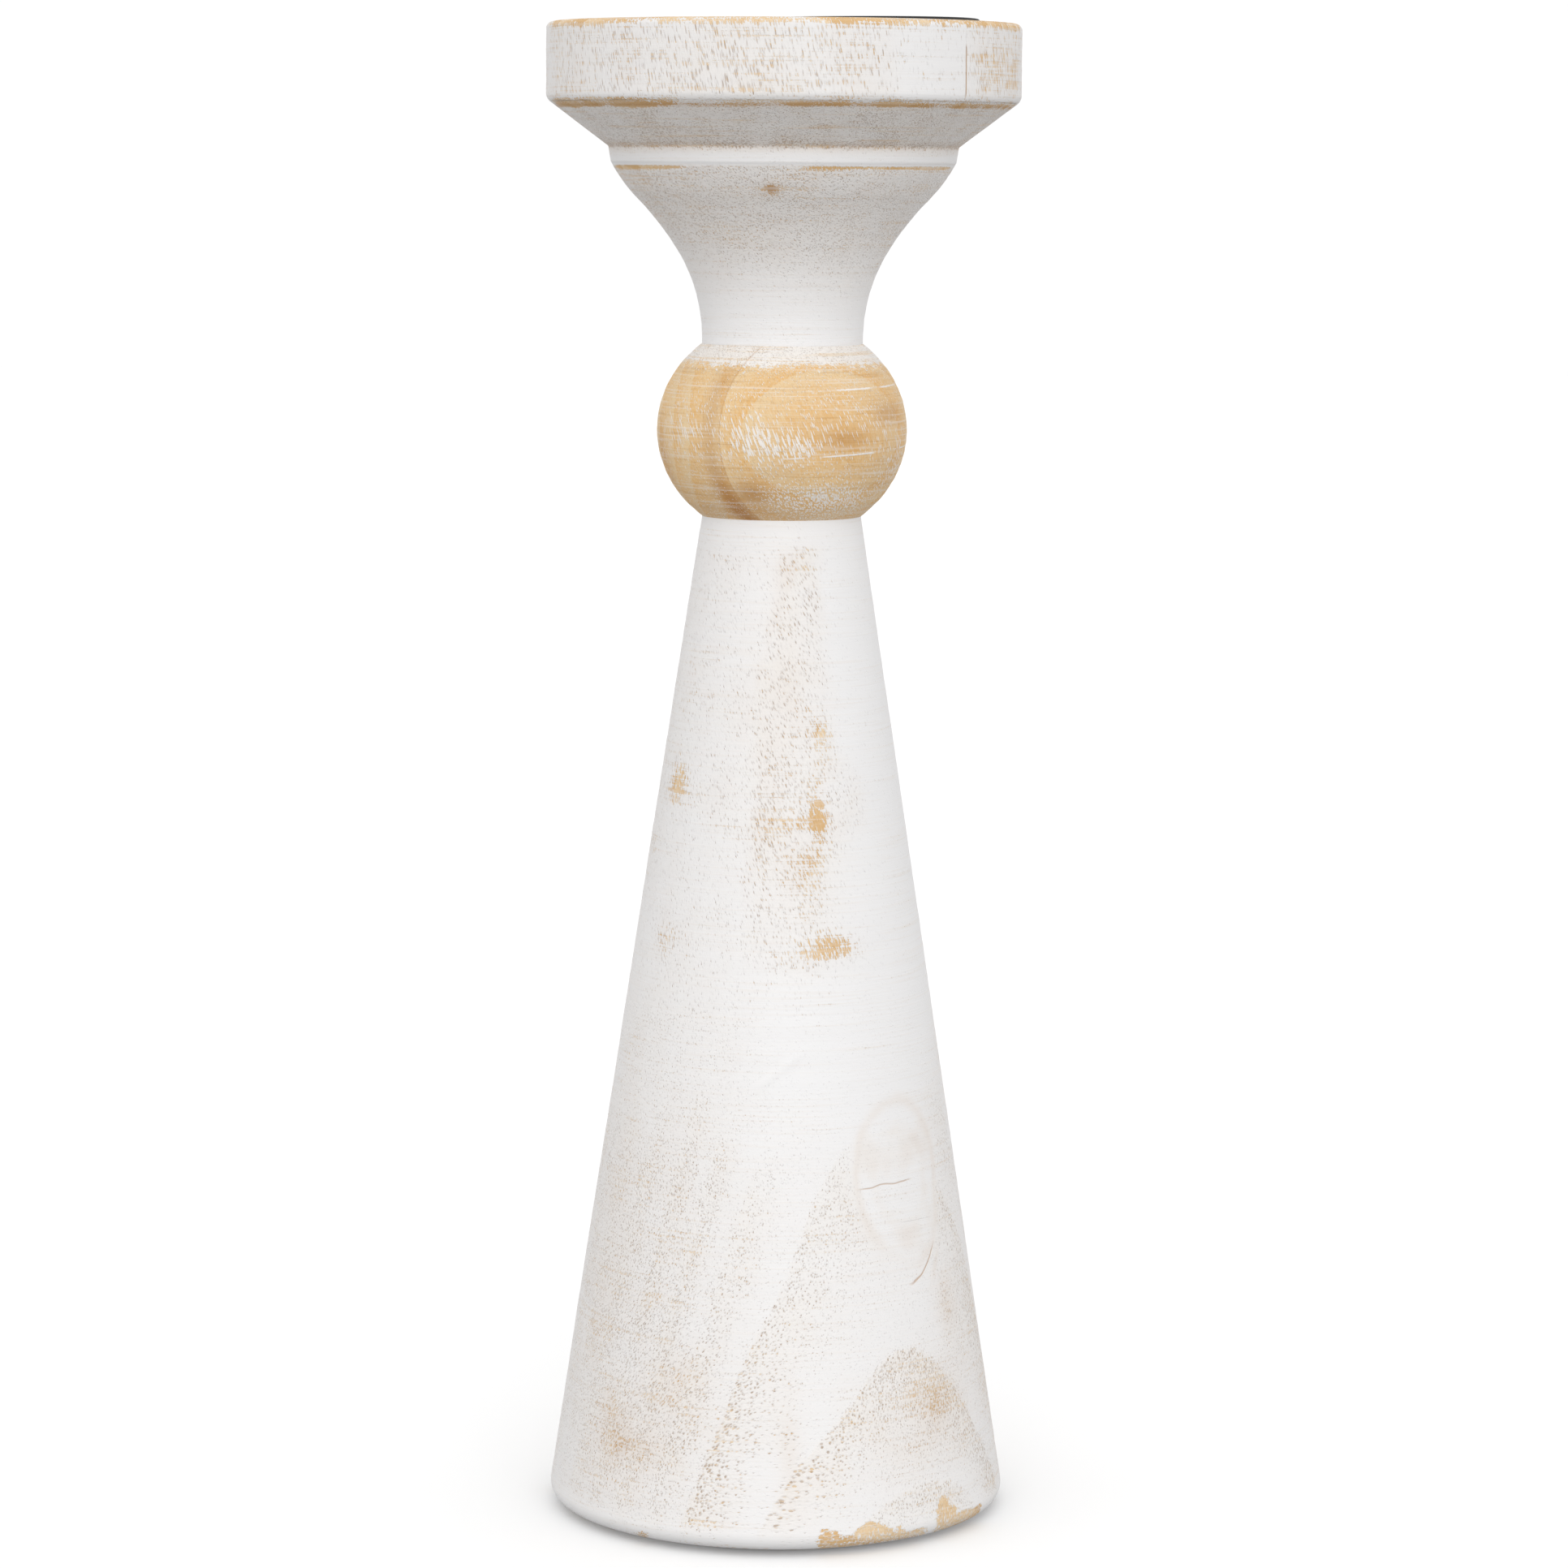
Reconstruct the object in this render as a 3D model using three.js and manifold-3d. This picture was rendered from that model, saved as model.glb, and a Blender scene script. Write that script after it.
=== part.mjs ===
// A turned wooden candlestick: a tall cone, a bead, and a cup that flares out to a broad flat rim.
// A pressed steel plate for a pillar candle lies loose in a shallow recess in the top.
// Each turned section comes from a blank of two boards glued face to face, two dowel pins join the
// sections, and a felt pad covers the foot.
// Millimetres, +Z up. The origin is the centre of the felt's underside, and -Y is the front.
import * as THREE from "three";
import { mergeVertices } from "three/addons/utils/BufferGeometryUtils.js";
import Module from "manifold-3d";

const wasm = await Module();
wasm.setup();

// ---------- driving dimensions ----------

const TURNS = 48; // facets round each turned surface
const GLUE_GAP = 0.3; // clearance between two glued faces, and under the loose plate

const FELT = { radius: 42, thickness: 1.2, edge: 0.3 };

// Heights below count from the foot of the wood, which is the top of the felt.
const FOOT_RADIUS = 48.9; // widest radius of the cone, just above its rounded foot
const FOOT_EDGE_RADIUS = 3.4;
const CONE_HEIGHT = 212.8;
const CONE_TOP_RADIUS = 16.9;

const BEAD_HEIGHT = 36.4;
const BEAD_RADIUS = 26.5; // half its width, at the middle
const BEAD_HALF_RISE = 23.7; // half the height of the flattened ball that the bead is cut from

const THROAT_RADIUS = 17.05; // the narrowest radius of the cup's neck
const NECK_STRAIGHT = 0.8; // straight length of neck above the bead
const FLARE_ARCS = [
  { radius: 35, toLean: 31 }, // each arc leans the outline further out from the vertical, in degrees
  { radius: 60, toLean: 44.5 },
];
const SHOULDER_ARC = { radius: 33.6, toLean: 28.3 }; // bends back towards the vertical
const BAND = { rise: 3.4, flare: 0.6 }; // the raised band under the bevel
const BEVEL_SLOPE = 9.1 / 12.2; // rise over run of the bevel under the rim

const RIM_RADIUS = 50;
const RIM_LOWER_EDGE_RADIUS = 2.2;
const RIM_TOP_EDGE_RADIUS = 1.4;
const CUP_TOP = 316.6;

const RECESS = { radius: 42, depth: 1.8, edge: 0.3 };
const PLATE = { radius: 41.1, sheet: 1.0, lipHeight: 1.8, bendRadius: 1.2 };

const DOWEL = { radius: 6, length: 34, endBevel: 1, fluteDepth: 0.35, flutes: 12 };
const BEAD_HOLE_DEPTH = 15.4; // how far each dowel hole runs into the bead

// The glue line of each blank: which way its front face looks, in degrees from the front towards
// the right, and how far in front of the axis it lies.
const GLUE_LINES = {
  base: { looks: 4, offset: 0 },
  bead: { looks: 36, offset: 11 },
  cup: { looks: -42, offset: 0 },
};

// ---------- values that follow from them ----------

const HOLE_RADIUS = DOWEL.radius + GLUE_GAP;
const BEAD_BOTTOM = CONE_HEIGHT + GLUE_GAP;
const BEAD_TOP = BEAD_BOTTOM + BEAD_HEIGHT;
const CUP_BOTTOM = BEAD_TOP + GLUE_GAP;
const LOWER_PIN_TOP = BEAD_BOTTOM + BEAD_HOLE_DEPTH - GLUE_GAP;
const UPPER_PIN_BOTTOM = BEAD_TOP - BEAD_HOLE_DEPTH + GLUE_GAP;
const BLANK_SIZE = 400; // longer than the candlestick, so that a saw cut passes right through

const PAINTED_WOOD = { color: 0xf0eeec, roughness: 0.75, metalness: 0 };
const BARE_WOOD = { color: 0xd9b582, roughness: 0.7, metalness: 0 };
const DOWEL_WOOD = { color: 0xc9a573, roughness: 0.7, metalness: 0 };
const BLACK_STEEL = { color: 0x17171a, roughness: 0.45, metalness: 0.6 };
const GREY_FELT = { color: 0x4c4842, roughness: 1, metalness: 0 };

const radians = THREE.MathUtils.degToRad;

// ---------- tools ----------

// The body swept by turning an outline of radius and height about the vertical axis.
function turned(outline, arcPieces) {
  const lathe = new THREE.LatheGeometry(outline.getPoints(arcPieces), TURNS);
  return lathe.rotateX(Math.PI / 2);
}

function named(name, geometry, finish) {
  geometry.computeVertexNormals();
  const mesh = new THREE.Mesh(geometry, new THREE.MeshStandardMaterial(finish));
  mesh.name = name;
  return mesh;
}

// A closed geometry as a solid that can be cut.
function solidOf(geometry) {
  const bare = geometry.clone();
  bare.deleteAttribute("normal");
  bare.deleteAttribute("uv");
  const merged = mergeVertices(bare);
  const mesh = new wasm.Mesh({
    numProp: 3,
    vertProperties: merged.attributes.position.array,
    triVerts: new Uint32Array(merged.index.array),
  });
  return new wasm.Manifold(mesh);
}

function geometryOf(solid) {
  const { vertProperties, triVerts } = solid.getMesh();
  const geometry = new THREE.BufferGeometry();
  geometry.setAttribute("position", new THREE.BufferAttribute(vertProperties, 3));
  geometry.setIndex(new THREE.BufferAttribute(triVerts, 1));
  return geometry;
}

// The board on one side of a blank's glue line, as a box. side is -1 in front and 1 behind.
function boardBlank({ looks, offset }, side) {
  const board = new THREE.BoxGeometry(BLANK_SIZE, BLANK_SIZE, 2 * BLANK_SIZE);
  board.translate(0, side * ((BLANK_SIZE + GLUE_GAP) / 2) - offset, 0);
  return board.rotateZ(radians(looks));
}

// The two boards of a turned section, each in the shape that the lathe left.
function boardsOf(section, glueLine, frontName, backName, finish) {
  const whole = solidOf(section);
  const boards = new THREE.Group();
  for (const [name, side] of [[frontName, -1], [backName, 1]]) {
    const board = whole.intersect(solidOf(boardBlank(glueLine, side)));
    boards.add(named(name, geometryOf(board), finish));
  }
  return boards;
}

// ---------- the pieces ----------

// A thin disc with its lower edge eased.
function feltPad() {
  const outline = new THREE.Path();
  outline.moveTo(0, 0);
  outline.lineTo(FELT.radius - FELT.edge, 0);
  outline.lineTo(FELT.radius, FELT.edge);
  outline.lineTo(FELT.radius, FELT.thickness - GLUE_GAP);
  outline.lineTo(0, FELT.thickness - GLUE_GAP);
  return turned(outline, 1);
}

// A straight cone on a rounded foot, with the lower dowel's hole in its top.
function coneBase() {
  const lean = Math.atan((FOOT_RADIUS - CONE_TOP_RADIUS) / (CONE_HEIGHT - FOOT_EDGE_RADIUS));
  const edgeCentre = FOOT_RADIUS - FOOT_EDGE_RADIUS;
  const outline = new THREE.Path();
  outline.moveTo(0, 0);
  outline.lineTo(edgeCentre, 0);
  outline.absarc(edgeCentre, FOOT_EDGE_RADIUS, FOOT_EDGE_RADIUS, -Math.PI / 2, lean, false);
  outline.lineTo(CONE_TOP_RADIUS, CONE_HEIGHT);
  outline.lineTo(HOLE_RADIUS, CONE_HEIGHT);
  outline.lineTo(HOLE_RADIUS, LOWER_PIN_TOP - DOWEL.length - GLUE_GAP);
  outline.lineTo(0, LOWER_PIN_TOP - DOWEL.length - GLUE_GAP);
  return turned(outline, 3);
}

// A flattened ball cut off square above and below, with a dowel hole in each end.
function bead() {
  const halfHeight = BEAD_HEIGHT / 2;
  const middle = BEAD_BOTTOM + halfHeight;
  const end = Math.asin(halfHeight / BEAD_HALF_RISE);
  const outline = new THREE.Path();
  outline.moveTo(0, BEAD_BOTTOM + BEAD_HOLE_DEPTH);
  outline.lineTo(HOLE_RADIUS, BEAD_BOTTOM + BEAD_HOLE_DEPTH);
  outline.lineTo(HOLE_RADIUS, BEAD_BOTTOM);
  outline.absellipse(0, middle, BEAD_RADIUS, BEAD_HALF_RISE, -end, end, false);
  outline.lineTo(HOLE_RADIUS, BEAD_TOP);
  outline.lineTo(HOLE_RADIUS, BEAD_TOP - BEAD_HOLE_DEPTH);
  outline.lineTo(0, BEAD_TOP - BEAD_HOLE_DEPTH);
  return turned(outline, 7);
}

// Adds an arc that starts where the outline stands, leaning from one angle off the vertical to
// another. A hollow arc has its centre outside the wood, and a full one inside.
function addArc(outline, radius, fromLean, toLean) {
  const hollow = toLean > fromLean;
  const { x, y } = outline.currentPoint;
  const towards = hollow ? 1 : -1;
  const centreX = x + towards * radius * Math.cos(radians(fromLean));
  const centreY = y - towards * radius * Math.sin(radians(fromLean));
  const turn = hollow ? Math.PI : 0;
  outline.absarc(centreX, centreY, radius, turn - radians(fromLean), turn - radians(toLean), hollow);
}

// The neck, the flare, the band, the bevel and the rim, with the plate's recess in the top.
function cup() {
  const bevelLean = Math.PI / 2 - Math.atan(BEVEL_SLOPE);
  const outline = new THREE.Path();
  outline.moveTo(0, UPPER_PIN_BOTTOM + DOWEL.length + GLUE_GAP);
  outline.lineTo(HOLE_RADIUS, UPPER_PIN_BOTTOM + DOWEL.length + GLUE_GAP);
  outline.lineTo(HOLE_RADIUS, CUP_BOTTOM);
  outline.lineTo(THROAT_RADIUS, CUP_BOTTOM);
  outline.lineTo(THROAT_RADIUS, CUP_BOTTOM + NECK_STRAIGHT);
  let lean = 0;
  for (const arc of [...FLARE_ARCS, SHOULDER_ARC]) {
    addArc(outline, arc.radius, lean, arc.toLean);
    lean = arc.toLean;
  }
  const bandFoot = outline.currentPoint.clone();
  const bandTop = { x: bandFoot.x + BAND.flare, y: bandFoot.y + BAND.rise };
  outline.lineTo(bandTop.x, bandTop.y);
  const cornerX = RIM_RADIUS - RIM_LOWER_EDGE_RADIUS;
  const bevelEndX = cornerX + RIM_LOWER_EDGE_RADIUS * Math.cos(bevelLean);
  const bevelEndY = bandTop.y + (bevelEndX - bandTop.x) * BEVEL_SLOPE;
  const cornerY = bevelEndY + RIM_LOWER_EDGE_RADIUS * Math.sin(bevelLean);
  outline.absarc(cornerX, cornerY, RIM_LOWER_EDGE_RADIUS, -bevelLean, 0, false);
  const topCorner = { x: RIM_RADIUS - RIM_TOP_EDGE_RADIUS, y: CUP_TOP - RIM_TOP_EDGE_RADIUS };
  outline.absarc(topCorner.x, topCorner.y, RIM_TOP_EDGE_RADIUS, 0, Math.PI / 2, false);
  outline.lineTo(RECESS.radius + RECESS.edge, CUP_TOP);
  outline.lineTo(RECESS.radius, CUP_TOP - RECESS.edge);
  outline.lineTo(RECESS.radius, CUP_TOP - RECESS.depth);
  outline.lineTo(0, CUP_TOP - RECESS.depth);
  return turned(outline, 3);
}

// A round pan pressed from sheet: a flat seat and a short lip turned up round it.
function candlePlate() {
  const { radius, sheet, lipHeight, bendRadius } = PLATE;
  const lipMiddle = radius - sheet / 2;
  const outline = new THREE.Path();
  outline.moveTo(0, 0);
  outline.lineTo(radius - bendRadius, 0);
  outline.absarc(radius - bendRadius, bendRadius, bendRadius, -Math.PI / 2, 0, false);
  outline.absarc(lipMiddle, lipHeight - sheet / 2, sheet / 2, 0, Math.PI, false);
  outline.lineTo(radius - bendRadius, sheet);
  outline.lineTo(0, sheet);
  return turned(outline, 2);
}

// A round pin with shallow flutes along it, which let glue and air out of the hole, and bevelled ends.
function dowelPin() {
  const { radius, length, endBevel, fluteDepth, flutes } = DOWEL;
  const points = [];
  const count = flutes * 4;
  for (let i = 0; i < count; i += 1) {
    const angle = (2 * Math.PI * i) / count;
    const depth = fluteDepth * Math.max(0, Math.cos(flutes * angle));
    points.push(new THREE.Vector2(Math.cos(angle), Math.sin(angle)).multiplyScalar(radius - depth));
  }
  const pin = new THREE.ExtrudeGeometry(new THREE.Shape(points), {
    depth: length - 2 * endBevel,
    bevelThickness: endBevel,
    bevelSize: endBevel,
    bevelOffset: -endBevel,
    bevelSegments: 1,
  });
  return pin.translate(0, 0, endBevel);
}

// ---------- the candlestick ----------

const wood = new THREE.Group();
wood.position.z = FELT.thickness;
wood.add(boardsOf(coneBase(), GLUE_LINES.base, "base_front_board", "base_back_board", PAINTED_WOOD));
wood.add(boardsOf(bead(), GLUE_LINES.bead, "bead_front_board", "bead_back_board", BARE_WOOD));
wood.add(boardsOf(cup(), GLUE_LINES.cup, "cup_left_board", "cup_right_board", PAINTED_WOOD));

const lowerPin = named("lower_dowel_pin", dowelPin(), DOWEL_WOOD);
lowerPin.position.z = LOWER_PIN_TOP - DOWEL.length;
const upperPin = named("upper_dowel_pin", dowelPin(), DOWEL_WOOD);
upperPin.position.z = UPPER_PIN_BOTTOM;
wood.add(lowerPin, upperPin);

const plate = named("candle_plate", candlePlate(), BLACK_STEEL);
plate.position.z = CUP_TOP - RECESS.depth + GLUE_GAP;
wood.add(plate);

const candlestick = new THREE.Group();
candlestick.add(named("felt_base_pad", feltPad(), GREY_FELT), wood);

export default candlestick;
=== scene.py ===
"""A turned wooden candlestick in rubbed-back white paint, with a loose black steel candle plate.

The three turned sections are lathe surfaces worked out over the height and the turn about the axis.
Azimuths count in degrees from the front (-Y) towards the right (+X), and heights in millimetres from
the foot of the wood. Each vertex carries where the wood is open-pored, rubbed bare or stained, and
the materials lay the fine grain, the pores and the paint over that.
"""
import itertools
import math

import bpy
import numpy as np
from mathutils import Euler, Matrix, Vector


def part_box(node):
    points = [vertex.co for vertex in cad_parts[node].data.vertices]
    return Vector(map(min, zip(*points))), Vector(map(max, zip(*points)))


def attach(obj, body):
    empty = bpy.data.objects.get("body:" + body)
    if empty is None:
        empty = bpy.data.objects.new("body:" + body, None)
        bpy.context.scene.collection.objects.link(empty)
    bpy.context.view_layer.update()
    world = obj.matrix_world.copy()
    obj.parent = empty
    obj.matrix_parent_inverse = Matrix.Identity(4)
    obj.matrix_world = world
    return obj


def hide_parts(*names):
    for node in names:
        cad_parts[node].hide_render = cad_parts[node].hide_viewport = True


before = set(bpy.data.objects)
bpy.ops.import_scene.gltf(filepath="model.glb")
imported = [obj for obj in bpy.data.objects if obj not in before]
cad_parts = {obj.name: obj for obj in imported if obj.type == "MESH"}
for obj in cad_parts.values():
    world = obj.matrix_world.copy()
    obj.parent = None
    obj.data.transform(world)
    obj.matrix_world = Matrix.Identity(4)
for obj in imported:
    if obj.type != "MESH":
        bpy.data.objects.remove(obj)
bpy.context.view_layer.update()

MM = 0.001


def node_box(name):
    """A CAD node's lowest and highest corner, in millimetres."""
    low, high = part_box(name)
    return np.array(low) / MM, np.array(high) / MM


# ---------- sizes, in millimetres, from the frame ----------

FOOT = node_box("base_front_board")[0][2]  # height of the foot of the wood above the table
CONE_TOP = node_box("base_front_board")[1][2] - FOOT
BEAD_LOW = node_box("bead_front_board")[0][2] - FOOT
BEAD_HIGH = node_box("bead_front_board")[1][2] - FOOT
CUP_LOW = node_box("cup_left_board")[0][2] - FOOT
CUP_HIGH = node_box("cup_left_board")[1][2] - FOOT
PLATE_LOW = node_box("candle_plate")[0][2] - FOOT
PLATE_HIGH = node_box("candle_plate")[1][2] - FOOT
PLATE_RADIUS = node_box("candle_plate")[1][0]
FELT_RADIUS = node_box("felt_base_pad")[1][0]
FELT_HIGH = node_box("felt_base_pad")[1][2] - FOOT
PIN_RADIUS = 6.0
LOWER_PIN = [v[2] - FOOT for v in node_box("lower_dowel_pin")]
UPPER_PIN = [v[2] - FOOT for v in node_box("upper_dowel_pin")]

PIN_HOLE = PIN_RADIUS + 0.3
PIN_END_GAP = 0.3
CLOSE_UP = 0.4  # how far the sections run into each other, so that no dark gap shows between them

# ---------- the wood's own pattern ----------

# Where each board's tree had its heart: azimuth and distance from the turning axis. Growth rings run
# round it, and a cone cut through them shows the nested arches of flat-sawn timber.
PITH = {
    "base_front": (218, 38), "base_back": (15, 66),
    "bead_front": (205, 48), "bead_back": (60, 70),
    "cup_front": (170, 62), "cup_back": (10, 75),
}
# Distances from the heart at which a season's growth starts, and how sharply its pores open there.
RINGS = np.array(
    [(0, 0), (7, 0.4), (13, 0.2), (19, 0.6), (25, 0.3), (31, 0.5), (37, 0.2), (42.5, 0.7), (48.5, 0.3),
     (54.5, 0.5), (60.8, 0.4), (65, 0.15), (69.8, 0.25), (74.6, 0.8), (81.4, 1.0), (85.6, 0.7),
     (91, 0.3), (97, 0.6), (103, 0.2), (110, 0.8), (117, 0.4), (124, 0.3), (131, 0.5), (140, 0)]
)
# The glue line of each section: the azimuth its front board looks to, and its distance in front of
# the axis. The same lay-up as the CAD boards.
GLUE = {"base": (4, 0), "bead": (36, 11), "cup": (-42, 0)}


def lumps(points, size, seed):
    """Smooth random lumps from -1 to 1: random values on a lattice, blended along each axis."""
    place = np.asarray(points) / size
    cell = np.floor(place).astype(np.int64)
    t = place - cell
    t = t * t * (3 - 2 * t)
    total = np.zeros(place.shape[:-1])
    for corner in itertools.product((0, 1), repeat=3):
        at = cell + np.array(corner)
        mixed = at[..., 0] * 73856093 ^ at[..., 1] * 19349663 ^ at[..., 2] * 83492791 ^ seed * 40503
        mixed = (mixed & 0xFFFFFFFF) * 2654435761 & 0xFFFFFFFF
        mixed = (mixed ^ mixed >> 15) * 2246822519 & 0xFFFFFFFF
        value = (mixed ^ mixed >> 13) & 0xFFFF
        weight = np.prod(np.where(corner, t, 1 - t), axis=-1)
        total += weight * value / 0xFFFF
    return total * 2 - 1


def rough(points, size, seed):
    """Three octaves of lumps, each half the size and half the height of the last."""
    return sum(lumps(points, size / 2**i, seed + i) / 2**i for i in range(3)) / 1.75


def fade(value, low, high):
    """0 at low, 1 at high, with a smooth S between."""
    t = np.clip((value - low) / (high - low), 0, 1)
    return t * t * (3 - 2 * t)


def turn_from(azimuth, centre):
    """Degrees from centre to azimuth, the short way round."""
    return (azimuth - centre + 180) % 360 - 180


def patch(at, azimuth, height, half_width, half_height, slant=0.0):
    """A soft oval on the surface: 1 in its middle and 0.37 on its edge. slant leans its top left."""
    along = np.radians(turn_from(at["azimuth"], azimuth)) * np.maximum(at["radius"], 1)
    up = at["height"] - height
    along = along + up * math.tan(math.radians(slant))
    return np.exp(-((along / half_width) ** 2) - (up / half_height) ** 2)


def stretch(at, first, last, low, high, soft):
    """1 between two azimuths and two heights, falling to 0 over soft millimetres outside them."""
    middle, half = (first + last) / 2, (last - first) / 2
    beyond = (np.abs(turn_from(at["azimuth"], middle)) - half) * np.radians(1) * at["radius"]
    above = np.maximum(low - at["height"], at["height"] - high)
    return (1 - fade(beyond, -soft, soft)) * (1 - fade(above, -soft / 2, soft / 2))


def growth(at, section):
    """How far each point is through its season's growth, 0 to 1, how sharply that season starts, how
    far the point is in front of the glue line, and how far from its board's pith. The distance from
    the pith, made a little wavy, is looked up between the season starts."""
    looks, offset = GLUE[section]
    facing = np.radians(looks)
    ahead = at["points"][..., 0] * np.sin(facing) - at["points"][..., 1] * np.cos(facing) - offset
    distance = np.zeros(ahead.shape)
    for side, on_side in (("front", ahead > 0), ("back", ahead <= 0)):
        azimuth, away = PITH[f"{section}_{side}"]
        heart = away * np.array([math.sin(math.radians(azimuth)), -math.cos(math.radians(azimuth))])
        here = np.hypot(at["points"][..., 0] - heart[0], at["points"][..., 1] - heart[1])
        distance = np.where(on_side, here, distance)
    distance = distance + 0.7 * lumps(at["points"] * [1, 1, 0.5], 14, 5)
    ring = np.searchsorted(RINGS[:, 0], distance, side="right") - 1
    start, end = RINGS[ring, 0], RINGS[ring + 1, 0]
    return {
        "season": (distance - start) / (end - start), "sharp": RINGS[ring, 1], "ahead": ahead,
        "distance": distance,
    }


def along_fibres(at, lean, upright_at, draw=1.0):
    """The point in the wood's own space, in millimetres, turned about the axis by an angle that
    grows with the height from upright_at, so that a pattern drawn out along Z leans its top to the
    left by lean degrees. Heights above upright_at count draw times, which draws the pattern out."""
    up = at["height"] - upright_at
    shift = up * np.tan(np.radians(lean)) / np.maximum(at["radius"], 4)
    x, y, z = np.moveaxis(at["points"], -1, 0)
    z = upright_at + np.where(up > 0, up * draw, up)
    return np.stack([x * np.cos(shift) - y * np.sin(shift), x * np.sin(shift) + y * np.cos(shift), z], -1)


# ---------- outlines and lathe surfaces ----------


def straight(start, end, step):
    """Points from start to end, as radius and height, no further apart than step."""
    start, end = np.array(start, float), np.array(end, float)
    count = max(1, math.ceil(np.linalg.norm(end - start) / step))
    return start + (end - start) * np.linspace(0, 1, count + 1)[:, None]


def round_stretch(centre, radii, first, last, step):
    """Points on an ellipse's arc between two angles in degrees, from the level outward direction."""
    count = max(2, math.ceil(abs(math.radians(last - first)) * max(radii) / step))
    angle = np.radians(np.linspace(first, last, count + 1))
    return np.stack([centre[0] + radii[0] * np.cos(angle), centre[1] + radii[1] * np.sin(angle)], 1)


def joined(*stretches):
    """One outline from several stretches, without the points that repeat."""
    points = np.vstack(stretches)
    keep = np.r_[True, np.linalg.norm(np.diff(points, axis=0), axis=1) > 1e-6]
    return points[keep]


def turned(name, outline, columns, relief, stains, material, body, nodes, lie=None):
    """A closed lathe surface. Its point at row s and azimuth a is (R sin a, -R cos a, Z), where
    (R, Z) is the outline at s moved along the outline's own normal by relief(s, a). lie is how the
    piece lies if it isn't upright: degrees of roll about Y, and a rise in millimetres."""
    inner = outline[1:-1]
    azimuth = np.linspace(0, 360, columns, endpoint=False)
    tangent = np.gradient(inner, axis=0)
    normal = np.stack([tangent[:, 1], -tangent[:, 0]], 1)
    normal /= np.linalg.norm(normal, axis=1)[:, None]
    at = grid_of(inner[:, 0, None], inner[:, 1, None], azimuth)
    push = relief(at)
    radius = at["radius"] + push * normal[:, 0, None]
    height = at["height"] + push * normal[:, 1, None]
    around = np.radians(at["azimuth"])
    grid = np.stack([radius * np.sin(around), -radius * np.cos(around), height + FOOT], -1)
    poles = [[0, 0, outline[0, 1] + FOOT], [0, 0, outline[-1, 1] + FOOT]]
    vertices = np.vstack([grid.reshape(-1, 3), poles])
    if lie:
        middle = np.array([0, 0, (outline[0, 1] + outline[-1, 1]) / 2 + FOOT])
        roll = np.array(Matrix.Rotation(math.radians(lie[0]), 3, "Y"))
        vertices = (vertices - middle) @ roll.T + middle + [0, 0, lie[1]]
    vertices = vertices * MM
    rows = len(inner)
    index = np.arange(rows * columns).reshape(rows, columns)
    beside = np.roll(index, -1, axis=1)
    quads = np.stack([index[:-1], beside[:-1], beside[1:], index[1:]], -1).reshape(-1, 4)
    low, high = rows * columns, rows * columns + 1
    below = np.stack([beside[0], index[0], np.full(columns, low)], -1)
    above = np.stack([index[-1], beside[-1], np.full(columns, high)], -1)
    mesh = bpy.data.meshes.new(name)
    mesh.from_pydata(vertices.tolist(), [], quads.tolist() + below.tolist() + above.tolist())
    mesh.shade_smooth()
    marks = stains(at)
    for label in SURFACE_FIELDS + ("grain",) if marks else ():
        keep_on_mesh(mesh, label, marks.get(label, np.zeros_like(push)))
    mesh.materials.append(material)
    piece = bpy.data.objects.new(name, mesh)
    bpy.context.scene.collection.objects.link(piece)
    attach(piece, body)
    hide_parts(*nodes)


def grid_of(radius, height, azimuth):
    """What the relief and the stains need to know of each grid point."""
    radius, height, azimuth = np.broadcast_arrays(radius, height, azimuth)
    around = np.radians(azimuth)
    points = np.stack([radius * np.sin(around), -radius * np.cos(around), height], -1)
    return {"radius": radius, "height": height, "azimuth": azimuth, "points": points}


def keep_on_mesh(mesh, label, values):
    """Stores a value or a vector on every vertex. Both poles get the value of the row beside them."""
    is_vector = values.ndim == 3
    flat = values.reshape(-1, 3) if is_vector else values.reshape(-1)
    ends = np.stack([values[0].mean(axis=0), values[-1].mean(axis=0)])
    flat = np.concatenate([flat, ends])
    kind, field = ("FLOAT_VECTOR", "vector") if is_vector else ("FLOAT", "value")
    attribute = mesh.attributes.new(label, kind, "POINT")
    attribute.data.foreach_set(field, flat.astype(np.float32).ravel())


# ---------- materials ----------


def linear(hex_colour):
    """An sRGB hex colour as linear RGBA."""
    parts = [int(hex_colour[i : i + 2], 16) / 255 for i in (1, 3, 5)]
    return [p / 12.92 if p <= 0.04045 else ((p + 0.055) / 1.055) ** 2.4 for p in parts] + [1.0]


# Settings that many nodes share: an S-shaped range, and a mix of two colours.
SMOOTH = {"interpolation_type": "SMOOTHSTEP"}
COLOURS = {"output": 2, "data_type": "RGBA"}


def put(tree, kind, links, output=0, **settings):
    """Adds a node, sets its settings, and feeds its sockets with values or with other outputs."""
    made = tree.nodes.new(kind)
    for key, value in settings.items():
        setattr(made, key, value)
    for key, value in links.items():
        if isinstance(value, bpy.types.NodeSocket):
            tree.links.new(value, made.inputs[key])
        else:
            made.inputs[key].default_value = value
    return made.outputs[output]


def new_material(name):
    """An empty material and its node tree."""
    material = bpy.data.materials.new(name)
    material.use_nodes = True
    material.node_tree.nodes.clear()
    return material, material.node_tree


def finish_material(tree, shader_links, relief, relief_depth):
    """The surface shader and the output. relief is 0 to 1, and relief_depth its depth in millimetres."""
    bump = {"Height": relief, "Distance": relief_depth * MM, "Strength": 1.0}
    shader_links["Normal"] = put(tree, "ShaderNodeBump", bump)
    shader = put(tree, "ShaderNodeBsdfPrincipled", shader_links)
    out = tree.nodes.new("ShaderNodeOutputMaterial")
    tree.links.new(shader, out.inputs["Surface"])


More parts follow.
